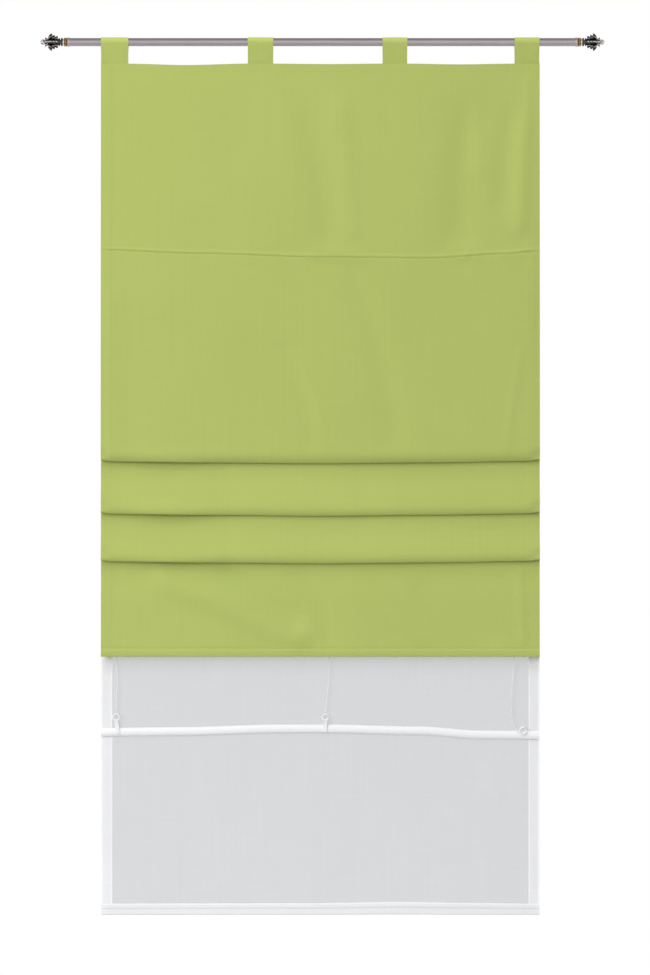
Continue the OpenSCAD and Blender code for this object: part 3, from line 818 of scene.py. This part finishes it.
def front_surface(x, s):
    """Place of the front cloth x from its middle and s down its own length, in millimetres."""
    y, z = front_path.at(s)
    edge = smooth(HALF_W - PINCH, HALF_W, abs(x))
    flat = smooth(-TUCK_DROPS[0] + 12, -TUCK_DROPS[0] + 50, z)
    lift = 0.0
    proud = bump(x - PROUD_X, PROUD_W)
    free = 1.0
    for drop, lip, leg, top, out in zip(TUCK_DROPS, LIP_S, LEG_S, TOP_S, OUT_S):
        to_edge = abs(s - (lip + leg) / 2)
        pinched = edge * smooth(30, 8, to_edge)
        lift += PINCH_RISE * pinched
        y += PINCH_BACK * pinched + lip_roll(s, lip, leg) * (1 - edge) * (1 - 0.4 * proud)
        y += smooth(36, 8, to_edge) * (0.5 * math.sin(x * 0.021 + drop) - PROUD_OUT * proud)
        free *= smooth(3, 18, max(top - s, s - out))
        if s > out:
            y += (RECESS + RECESS_PROUD * proud) * bump(z + drop + RECESS_DROP, RECESS_H)
    lift += curve_at(TUCK_SAG, x) * curve_at(SAG_SHARE, s)
    lift += (TOP_RISE + curve_at(TOP_SAG, x)) * smooth(-120, -HEADER_DROP, z)
    swell = sum(c.at(x, z) for c in FRONT_CREASES)
    held = smooth(0, HEADER_H + 25, s) * smooth(front_path.length, front_path.length - 60, s)
    swell += SWELL * noise.noise(Vector((x * 0.006, z * 0.0035, 1.7)))
    seam = z - curve_at(SEAM_SAG, x)
    if swell < 0:
        by_ring = max(bump(x - ring_x, 30) for ring_x in RING_X)
        swell *= smooth(-64 - 40 * by_ring, -165, z) * (1 - bump(z + SEAM_DROP, 22))
    pucker = smooth(-60, 0, x) * smooth(110, 40, x) + smooth(220, 260, x) * 1.2
    swell += pucker * bump(seam, 12) * (0.5 + noise.noise(Vector((x * 0.09, z * 0.05, 4.0))))
    swell += (0.8 * bump(seam - 2.5, 3.0) - 0.8 * bump(seam + 0.5, 1.4)) * flat
    swell *= held * free * (1 - 0.6 * edge)
    swell += 0.5 * smooth(side_x - 1.5, side_x + 1.0, abs(x))
    hem_end = front_path.length - FRONT_HEM
    hem = 0.8 * smooth(hem_s, hem_s + 2.5, s) * smooth(hem_end - 4, hem_end - 8, s)
    swell += hem - 0.5 * bump(s - hem_s, 1.6)
    return eased(x, y - swell, z + lift)


def front_frame(x, s):
    """Place, direction across, direction down and normal of the front cloth."""
    p = front_surface(x, s)
    across = (front_surface(x + 1, s) - front_surface(x - 1, s)).normalized()
    down = (front_surface(x, s + 0.5) - front_surface(x, s - 0.5)).normalized()
    return p, across, down, across.cross(down).normalized() * -1


def front_length_at(z):
    """Distance along the front cloth of a height over the first tuck."""
    return -HEADER_DROP - z


columns = spread(-HALF_W, HALF_W, 144)
rows_s = front_path.samples(6.5)
for lip in LIP_S:
    rows_s += [lip - d for d in spread(2, ROLL_H + 2, 10)]
rows_s += [front_length_at(z) for z in spread(-374, -402, 20)]
rows_s = sorted(set(rows_s + [hem_s + d for d in (-3.0, -1.5, 0.0, 1.5, 3.0)]))
build = Builder()
build.shell([[front_surface(x, s) for x in columns] for s in rows_s],
            [[(x, -s) for x in columns] for s in rows_s], CLOTH_T)

# Sleeve behind the seam, round its rod
SLEEVE_R = STICK_D / 2 + STICK_GAP + CLOTH_T / 2
SLEEVE_FLANGE = 6.0
SLEEVE_SET = 0.35
seam_y = front_path.at(front_length_at(-SEAM_DROP))[0]
sleeve_points = [(seam_y + SLEEVE_SET, SLEEVE_FLANGE - SEAM_DROP)]
sleeve_points += arc((seam_y + SLEEVE_R + SEAM_GAP, -SEAM_DROP), SLEEVE_R, 110, -110, 8)
sleeve_points.append((seam_y + SLEEVE_SET, -SLEEVE_FLANGE - SEAM_DROP))
sleeve_path = Path(sleeve_points)
sleeve_columns = columns[::3]
sleeve_rows = [[eased(x, y, z) for x in sleeve_columns] for y, z in sleeve_points]
for i in (0, -1):
    s = front_length_at(sleeve_points[i][1])
    sleeve_rows[i] = [front_surface(x, s) + Vector((0, SLEEVE_SET, 0)) for x in sleeve_columns]
build.shell(sleeve_rows, [[(x, -mark) for x in sleeve_columns] for mark in sleeve_path.marks], CLOTH_T)
front_cloth = build.build("front_cloth", [GREEN])
dress(front_cloth, "front_panel", "blind")


# Length and width of a stitch of each kind, and the step from one stitch to the next
HEM_STITCH = (2.6, 0.55)
SEAM_STITCH = (3.2, 0.9)
SIDE_STITCH = (2.6, 0.5)
FINE_STITCH = (2.4, 0.5)
STITCH = 3.4


def stitch_row(build, place, marks, along_x, length, width):
    for m in marks:
        p, across, down, normal = place(m)
        way = across if along_x else down
        build.stitch(p + normal * (CLOTH_T / 2), way, normal, length, width)


def seam_frame(x):
    return front_frame(x, front_length_at(curve_at(SEAM_SAG, x)))


across_marks = spread(-HALF_W + 2, HALF_W - 2, int(BLIND_W / STITCH))
threads = Builder()
stitch_row(threads, lambda x: front_frame(x, HEADER_H), across_marks, True, *HEM_STITCH)
stitch_row(threads, lambda x: front_frame(x, hem_s), across_marks, True, *HEM_STITCH)
stitch_row(threads, seam_frame, across_marks, True, *SEAM_STITCH)
down_marks = spread(4, front_path.length - 2 * FRONT_HEM, int(front_path.length / STITCH))
for side in (-1, 1):
    stitch_row(threads, lambda s, side=side: front_frame(side * side_x, s), down_marks, False, *SIDE_STITCH)
front_threads = threads.build("front_stitching", [GREEN_THREAD])
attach(front_threads, "blind")


# Tabs over the rod

def tab_points():
    r = ROD_D / 2 + TAB_GAP + CLOTH_T / 2
    front_y, back_y, low = 1.5 * CLOTH_T, 2.5 * CLOTH_T, HEADER_DROP
    b = math.degrees(math.atan2(-low, back_y) + math.acos(r / math.hypot(back_y, low)))
    f = math.degrees(math.atan2(-low, front_y) - math.acos(r / math.hypot(front_y, low))) + 360
    tail = -HEADER_DROP - HEADER_H + 0.2
    return [(front_y, tail), (front_y, -low)] + arc((0, 0), r, f, b, 22) + [(back_y, -low), (back_y, tail)]


TAB_COLUMNS = spread(-TAB_W / 2, TAB_W / 2, 12)
tab_path = Path(tab_points())
tab_threads = Builder()
for i, x0 in enumerate(TAB_X):
    build = Builder()
    rows = []
    uvs = []
    middle = x0 if 0 < i < 3 else x0 - math.copysign(TAB_EASE[i] / 2, x0)
    for s in tab_path.samples(3.0):
        y, z = tab_path.at(s)
        loose = smooth(-14, -30, z) * smooth(-42, -34, z)
        row = []
        for x in TAB_COLUMNS:
            soft = 0.6 * noise.noise(Vector((x * 0.06 + 7 * i, z * 0.05, y * 0.1))) * loose
            waist = 1 - 0.01 * smooth(-6, -22, z) * smooth(-41, -30, z)
            wide = x * waist * (1 + TAB_EASE[i] / TAB_W)
            row.append(Vector((BLIND_X + middle * EASE + wide, y + soft, z)))
        rows.append(row)
        uvs.append([(x, -s) for x in TAB_COLUMNS])
    build.shell(rows, uvs, 0.96 * CLOTH_T)
    for side in (-1, 1):
        for s in spread(16, 46, 9):
            y, z = tab_path.at(s)
            p = Vector((BLIND_X + x0 + side * (TAB_W / 2 - 2.5), y - 0.62, z))
            tab_threads.stitch(p, UP, TO_FRONT, *FINE_STITCH)
    tab = build.build("tab_%d" % (i + 1), [TAB_GREEN_PAINTED_LIGHT])
    dress(tab, "tab_loop_%d" % (i + 1), "blind")

tab_stitching = tab_threads.build("tab_stitching", [GREEN_THREAD])
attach(tab_stitching, "blind")


# Sheer cloth: lengths between the rod pockets, with doubled side hems

SHEER_Y = SHEER_FRONT + SHEER_T / 2
BOW_PIXELS = ((101, 732.5), (180, 731.6), (281, 729), (325, 729), (420, 731), (480, 735), (539, 735.5))
BOW = [from_picture(x, y) for x, y in BOW_PIXELS]
BOW = [(x, z - POCKET_Z[0]) for x, z in BOW]
HEM_RISE = [(-HALF_W, 0), (0, 0.8), (145, 3.2), (260, 1.2), (HALF_W, 0)]
SHEER_CREASES = [
    Crease(((478, 740), (486, 765), (494, 795)), 6, 1.6),
    Crease(((470, 742), (478, 775)), 6, -1.4),
    Crease(((438, 868), (470, 864)), 12, -1.6),
    Crease(((196, 893), (214, 888), (230, 880)), 5, 1.2),
    Crease(((186, 899), (206, 885)), 5, -1.0),
    Crease(((430, 690), (470, 720)), 9, 0.9),
]
INNER_X = HALF_W - SIDE_HEM
HELD_H = 70
STITCH_OUT = Vector((0, -0.12, 0))
# Places of the materials in each sheer piece
# The last of them is grey voile that paints shade on the bottom hem
CLOTH, HEM, EDGE, THREAD, PAINTED_SHADE = range(5)
sheer_columns = sorted(set(
    [round(x, 3) for x in spread(-HALF_W, HALF_W, 80)]
    + [side * x for side in (-1, 1) for x in (INNER_X, INNER_X + 2.5, HALF_W - 3)]))


def sheer_wave(x, z, low, high):
    """How far the sheer swings forward (negative) between the rods that hold it."""
    held = smooth(high, high - HELD_H, z) * smooth(low, low + HELD_H, z)
    wave = 1.5 * noise.noise(Vector((x * 0.011, z * 0.0022, 9.0)))
    wave += noise.noise(Vector((x * 0.035, z * 0.003, 3.0)))
    return -(wave + sum(c.at(x, z) for c in SHEER_CREASES)) * held


def hem_material(x):
    if abs(x) < INNER_X:
        return CLOTH
    return EDGE if abs(x) < INNER_X + 2.5 or abs(x) > HALF_W - 3 else HEM


def sheer_grid(build, place, heights):
    """The cloth's one layer, and a second one where its sides are hemmed."""
    rows = [[place(x, z) for x in sheer_columns] for z in heights]
    uvs = [[(x, z) for x in sheer_columns] for z in heights]
    build.grid(rows, uvs, lambda i, j: hem_material((sheer_columns[j] + sheer_columns[j + 1]) / 2))
    behind = Vector((0, SHEER_T, 0))
    for side in (-1, 1):
        hem_x = [x for x in sheer_columns if side * x >= INNER_X - 0.01]
        rows = [[place(x, z) + behind for x in hem_x] for z in heights]
        build.grid(rows, [[(x, z) for x in hem_x] for z in heights], HEM)
    for side in (-1, 1):
        z = heights[0] - 3
        while z > heights[-1] + 3:
            p = place(side * (INNER_X + 1.3), z) + STITCH_OUT
            build.stitch(p, UP, TO_FRONT, *FINE_STITCH, THREAD)
            z -= STITCH


def sheer_object(build, name, node, body):
    obj = build.build(name, [VOILE, VOILE_HEM, VOILE_EDGE, WHITE_THREAD, HEM_PAINTED_SHADE])
    dress(obj, node, body)
    return obj


def above(i):
    return POCKET_Z[i] + POCKET_H / 2 + SEAM_GAP


def below(i):
    return POCKET_Z[i] - POCKET_H / 2 - SEAM_GAP


HEADER_LOW = -HEADER_DROP - HEADER_H
HEADER_Y = HEADER_BACK + SHEER_T / 2

upper_top = -HEADER_DROP - 1
upper_path = Path([(HEADER_Y, upper_top), (HEADER_Y, HEADER_LOW), (SHEER_Y, HEADER_LOW - SHEER_SLOPE),
                   (SHEER_Y, above(2))])


def upper_place(x, z):
    y = SHEER_Y
    if z > HEADER_LOW:
        y = HEADER_Y
    elif z > HEADER_LOW - SHEER_SLOPE:
        share = (HEADER_LOW - z) / SHEER_SLOPE
        y = HEADER_Y + (SHEER_FRONT - HEADER_BACK) * share
    return eased(x, y + sheer_wave(x, z, above(2), -120), z)


build = Builder()
sheer_grid(build, upper_place, [upper_top, -48, -54, -68, -82, -96, -110] + spread(-122, above(2), 40))
sheer_upper = sheer_object(build, "sheer_top_length", "sheer_upper", "blind")
gather(sheer_upper)

# Height of the strip over the lowest pocket that bows with it and rises with the skirt
STRIP = 30.0
for name, node, body, top, bottom in (
        ("sheer_second_length", "sheer_middle", "pocket_3", below(2), above(1)),
        ("sheer_third_length", "sheer_lower", "pocket_2", below(1), above(0) + STRIP)):
    def length_place(x, z):
        return eased(x, SHEER_Y + sheer_wave(x, z, bottom, top), z)
    build = Builder()
    sheer_grid(build, length_place, spread(top, bottom, 56))
    obj = sheer_object(build, name, node, body)
    gather(obj)


def skirt_place(x, z):
    top = POCKET_Z[0] - POCKET_H / 2
    bow = curve_at(BOW, x) * smooth(-SHEER_DROP + 60, top, z)
    rise = curve_at(HEM_RISE, x) * bump(z + SHEER_DROP - SHEER_HEM, 16)
    return eased(x, SHEER_Y + sheer_wave(x, z, -SHEER_DROP, top), z + bow + rise)


def strip_place(x, z):
    bow = curve_at(BOW, x) * (above(0) + STRIP - z) / STRIP
    return eased(x, SHEER_Y, z + bow)


SHEER_HEM_R = 1.6
hem_top = -SHEER_DROP + SHEER_HEM
hem_low = -SHEER_DROP + SHEER_T / 2 + SHEER_HEM_R
build = Builder()
sheer_grid(build, strip_place, spread(above(0) + STRIP, above(0), 6))
sheer_grid(build, skirt_place, spread(POCKET_Z[0] - POCKET_H / 2, hem_top, 60))
hem_line = [(SHEER_Y, hem_top), (SHEER_Y, hem_top - 2.5), (SHEER_Y, hem_top - 8)]
hem_line += arc((SHEER_Y + SHEER_HEM_R, hem_low), SHEER_HEM_R, 180, 360, 8)
hem_line.append((SHEER_Y + 2 * SHEER_HEM_R, hem_top))
hem_path = Path(hem_line)
hem_marks = hem_path.samples(2.0)
hem_low_s = hem_top - hem_low


def hem_place(x, s):
    y, z = hem_path.at(s)
    rise = curve_at(HEM_RISE, x) * bump(z - hem_top, 16)
    return eased(x, y, z + rise)


def hem_row_material(s):
    """The doubled hem is brightest at its sewn edge, and has painted shade, grey, in a crease and round the
    underside of its fold.
    """
    if 7 < s < 9 or hem_low_s < s < hem_low_s + 4:
        return PAINTED_SHADE
    return EDGE if s < 2.5 else HEM


build.grid([[hem_place(x, s) for x in sheer_columns] for s in hem_marks],
           [[(x, hem_top - s) for x in sheer_columns] for s in hem_marks],
           lambda i, j: hem_row_material(hem_marks[i]))
for x in across_marks:
    build.stitch(hem_place(x, 2.2) + STITCH_OUT, TO_RIGHT, TO_FRONT, *FINE_STITCH, THREAD)
sheer_object(build, "sheer_skirt_length", "sheer_skirt", "skirt")


# Rod pockets of the sheer: a sewn band that bulges over its rod

POCKET_BODIES = ("skirt", "pocket_2", "pocket_3")


def band(i, bowed):
    build = Builder()
    base = POCKET_Z[i]

    def bow(x):
        return curve_at(BOW, x) * bowed

    def front_y(dz):
        swell = SHEER_FRONT - STICK_Y + STICK_D / 2 + 0.2
        return SHEER_FRONT - 0.4 - swell * math.sqrt(max(0.0, 1 - (2 * dz / POCKET_H) ** 2))

    def layer(y_at, heights, mat):
        rows = [[eased(x, y_at(dz), base + dz + bow(x)) for x in sheer_columns] for dz in heights]
        build.grid(rows, [[(x, dz) for x in sheer_columns] for dz in heights], mat)

    layer(front_y, [POCKET_H / 2 * math.cos(math.pi * k / 18) for k in range(19)],
          lambda row, column: EDGE if abs(sheer_columns[column]) > INNER_X - 1 else HEM)
    layer(lambda dz: SHEER_Y, (POCKET_H / 2, 0, -POCKET_H / 2), HEM)
    for dz in (7.3, -7.3):
        for x in across_marks:
            p = Vector((BLIND_X + x, front_y(dz) - 0.12, base + dz + bow(x)))
            build.stitch(p, TO_RIGHT, TO_FRONT, *FINE_STITCH, THREAD)
    obj = build.build("pocket_band_%d" % (i + 1), [VOILE, BAND, VOILE_EDGE, WHITE_THREAD])
    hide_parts("sheer_pocket_%d" % (i + 1))
    return obj


for i, body in enumerate(POCKET_BODIES):
    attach(band(i, 1 if i == 0 else 0), body)

build = Builder()
rod_line = [Vector((BLIND_X + x, STICK_Y, POCKET_Z[0] + curve_at(BOW, x))) for x in spread(-392, 392, 60)]
build.tube(rod_line, STICK_D / 2, 16)
bent_rod = build.build("bent_pocket_rod", [PLASTIC])
dress(bent_rod, "sheer_rod_1", "skirt")


# Tapes that hold the rings

TAPE_T = 0.5
TAPE_PART = 0.3
EYE_FOOT = 3.2
EYE_STEPS = 14


def tape_strip(build, line, x, lean=0.0):
    """A flat strip of tape along a line in the YZ plane, its start moved sideways by lean."""
    path = Path(line)
    rows = []
    uvs = []
    widths = spread(-TAPE_W / 2, TAPE_W / 2, 4)
    for s in path.samples(1.5):
        y, z = path.at(s)
        shift = lean * (1 - min(1.0, min(s, path.length - s) / (0.4 * path.length)))
        rows.append([Vector((BLIND_X + x + shift + w, y, z)) for w in widths])
        uvs.append([(w, s) for w in widths])
    build.shell(rows, uvs, TAPE_T)


def standing_line(foot, ring_z):
    eye = ring_z - RING_R
    front = [(RING_Y - TAPE_PART, foot), (RING_Y - TAPE_PART, eye - EYE_FOOT)]
    back = [(RING_Y + TAPE_PART, eye - EYE_FOOT), (RING_Y + TAPE_PART, foot)]
    return front + arc((RING_Y, eye), EYE_R, 230, -50, EYE_STEPS) + back


def hanging_line(head, ring_z):
    eye = ring_z + RING_R
    y = HEADER_RING_Y
    front = [(y - TAPE_PART, head), (y - TAPE_PART, eye + EYE_FOOT)]
    back = [(y + TAPE_PART, eye + EYE_FOOT), (y + TAPE_PART, head)]
    return front + arc((y, eye), EYE_R, 130, 410, EYE_STEPS) + back


def dropped_line(base):
    eye = base + DROPPED_RING_Z + RING_R
    top = base + POCKET_H / 2 + 0.7
    turn = arc((DROPPED_RING_Y, eye), EYE_R, 80, 360, EYE_STEPS)
    return [(SHEER_FRONT - 0.6, top)] + turn + [(SHEER_FRONT - 1.2, top - 0.5)]


for i, body in enumerate(POCKET_BODIES):
    build = Builder()
    for k, x in enumerate(RING_X):
        if i == 0 and k == 2:
            tape_strip(build, dropped_line(POCKET_Z[i]), x)
        else:
            lean = 3.4 if i == 0 and k == 0 else 0.0
            foot = POCKET_Z[i] - 4 if i == 0 and k == 0 else POCKET_Z[i] - 1
            tape_strip(build, standing_line(foot, POCKET_Z[i] + RING_RISE), x, lean)
    obj = build.build("tapes_%d" % (i + 1), [TAPE])
    dress(obj, "ring_tapes_%d" % (i + 1), body)

build = Builder()
for k, x in enumerate(RING_X):
    head = -HEADER_DROP - 2 if k == 1 else -HEADER_DROP - HEADER_H
    tape_strip(build, hanging_line(head, HEADER_RING_Z), x)
obj = build.build("tapes_header", [TAPE])
dress(obj, "header_tapes", "blind")


# Finishes of the CAD pieces that stay
FINISHES = {
    "rod_metal": NICKEL, "collar_metal": COLLAR, "gold": GOLD_PAINTED_SHADE, "pewter": PEWTER, "front_cloth": GREEN,
    "sheer_cloth": VOILE, "sheer_hem": VOILE_HEM, "white_tape": TAPE, "white_cord": CORD,
    "white_plastic": PLASTIC,
}
for part in frame["record"]["subparts"]:
    mesh = frame["nodes"][part["node"]].data
    mesh.materials.clear()
    mesh.materials.append(FINISHES[part["material_slot"]])


# Floor, light and background

FLOOR_Z = -1950
FLOOR_R = 1450
FLOOR_SIDES = 96
floor_build = Builder()
centre = floor_build.vertex((0, 0, FLOOR_Z))
rim = [floor_build.vertex((*p, FLOOR_Z)) for p in arc((0, 0), FLOOR_R, 0, 360, FLOOR_SIDES)[:-1]]
for k in range(FLOOR_SIDES):
    floor_build.face([centre, rim[k], rim[(k + 1) % FLOOR_SIDES]])
floor_build.build("floor", [pale_floor("pale_floor")])


LAMP_AIM = (0, 0, -0.8)


def area_light(name, place, size, power):
    data = bpy.data.lights.new(name, "AREA")
    data.shape = "DISK"
    data.size = size
    data.energy = power
    lamp = bpy.data.objects.new(name, data)
    lamp.location = place
    lamp.rotation_euler = (Vector(LAMP_AIM) - Vector(place)).to_track_quat("-Z", "Y").to_euler()
    lamp.visible_glossy = False
    bpy.context.scene.collection.objects.link(lamp)


area_light("key", (-4.0, -5.0, 0.8), 4.0, 206)
area_light("top", (-1.2, -2.6, 2.6), 1.6, 46)
area_light("back", (1.2, 3.8, 1.6), 2.0, 110)

world = bpy.data.worlds.new("studio")
world.use_nodes = True
bpy.context.scene.world = world
tree = world.node_tree
background = tree.nodes["Background"]
rays = tree.nodes.new("ShaderNodeLightPath")
WHITE = (1.0, 1.0, 1.0)
seen = math_node(tree, "MAXIMUM", rays.outputs["Is Camera Ray"], rays.outputs["Is Transmission Ray"])
way = add(tree, "ShaderNodeTexCoord")
split = tree.nodes.new("ShaderNodeSeparateXYZ")
tree.links.new(way.outputs["Generated"], split.inputs["Vector"])
steep = stretch(tree, math_node(tree, "ABSOLUTE", split.outputs["Z"], 0), 0.35, 0.95)
half = stretch(tree, split.outputs["Z"], -0.1, 0.1)
ends = mix_colours(tree, half, (0.26, 0.22, 0.23), (0.42, 0.4, 0.42))
backdrop = mix_colours(tree, steep, WHITE, ends)
height = stretch(tree, split.outputs["Z"], -0.35, 0.45)
room = mix_colours(tree, height, (0.16, 0.16, 0.16), (0.66, 0.66, 0.66))
level = mix_colours(tree, rays.outputs["Is Glossy Ray"], room, backdrop)
level = mix_colours(tree, seen, level, WHITE)
tree.links.new(level, background.inputs["Color"])

bpy.context.scene.view_settings.view_transform = "Standard"
